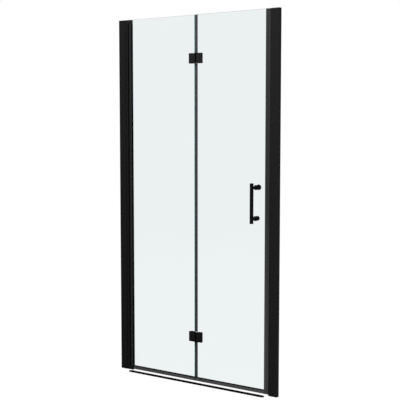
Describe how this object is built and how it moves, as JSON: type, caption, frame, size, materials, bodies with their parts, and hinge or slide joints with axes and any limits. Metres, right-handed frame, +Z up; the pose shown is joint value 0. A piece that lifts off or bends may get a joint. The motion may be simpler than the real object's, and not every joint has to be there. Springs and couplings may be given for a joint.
{
  "type": "bifold shower door",
  "caption": "Trackless bifold shower door: clear glass leaves joined by square hinges, with a round pivot profile, wall channels, a magnet closing edge, a bar handle and a threshold.",
  "frame": {"origin": "the middle of the box that holds the whole door, on the floor", "axes": "+X from the pivot side to the closing side, +Y into the shower, +Z up"},
  "size_m": [0.945, 0.078, 1.83],
  "materials": {
    "black_profile": "fine matte powder coat on extruded aluminium",
    "grey_profile": "satin charcoal coat on extruded aluminium",
    "black_hardware": "satin black coat on cast and turned metal",
    "black_plastic": "matte moulded",
    "threshold_rubber": "smooth extruded",
    "seal_grey": "satin extruded",
    "seal_rubber": "matte extruded",
    "magnet_seal": "matte extruded",
    "steel": "turned stainless steel",
    "nylon": "moulded, uncoated",
    "clear_glass": "polished clear toughened glass with ground edges"
  },
  "bodies": {
    "frame": {"left_wall_channel": "black_profile", "left_post": "black_profile", "left_post_seal": "seal_rubber", "top_pivot_block": "black_hardware", "bottom_pivot_block": "black_hardware", "top_pivot_pin": "steel", "bottom_pivot_pin": "steel", "pivot_block_screws": "steel", "left_fixing_screws": "steel", "left_screw_caps": "black_plastic", "right_wall_channel": "black_profile", "strike_post": "black_profile", "strike_magnet": "magnet_seal", "strike_top_cap": "black_plastic", "strike_bottom_cap": "black_plastic", "right_fixing_screws": "steel", "right_screw_caps": "black_plastic", "threshold_strip": "threshold_rubber"},
    "pivot_leaf": {"pivot_profile": "black_profile", "top_pivot_bush": "nylon", "bottom_pivot_bush": "nylon", "pivot_glazing_gasket": "seal_rubber", "pivot_glass": "clear_glass", "pivot_bottom_seal": "seal_grey", "upper_hinge_pivot_leaf": "black_hardware", "lower_hinge_pivot_leaf": "black_hardware", "upper_hinge_pivot_back_plate": "black_hardware", "lower_hinge_pivot_back_plate": "black_hardware", "pivot_hinge_gaskets": "seal_rubber", "pivot_hinge_screws": "steel", "upper_hinge_pin": "steel", "lower_hinge_pin": "steel"},
    "fold_leaf": {"fold_glass": "clear_glass", "middle_seal": "seal_rubber", "upper_hinge_fold_leaf": "black_hardware", "lower_hinge_fold_leaf": "black_hardware", "upper_hinge_fold_back_plate": "black_hardware", "lower_hinge_fold_back_plate": "black_hardware", "upper_hinge_bushes": "nylon", "lower_hinge_bushes": "nylon", "fold_hinge_gaskets": "seal_rubber", "fold_hinge_screws": "steel", "closing_profile": "grey_profile", "closing_gasket": "seal_rubber", "door_magnet": "magnet_seal", "fold_bottom_seal": "seal_grey", "handle_bar": "black_hardware", "upper_handle_post": "black_hardware", "lower_handle_post": "black_hardware", "upper_handle_stud": "steel", "lower_handle_stud": "steel", "handle_washers": "seal_rubber", "inner_knob": "black_hardware", "inner_cap": "black_hardware", "handle_grub_screws": "steel"}
  },
  "joints": [
    {"name": "pivot_swing", "type": "hinge", "parent": "frame", "child": "pivot_leaf", "pos_m": [-0.402, 0.011, 0], "axis": [0, 0, 1], "range_deg": [0, 90]},
    {"name": "leaf_fold", "type": "hinge", "parent": "pivot_leaf", "child": "fold_leaf", "pos_m": [0.005, 0.0022, 0], "axis": [0, 0, -1], "range_deg": [0, 168]}
  ]
}
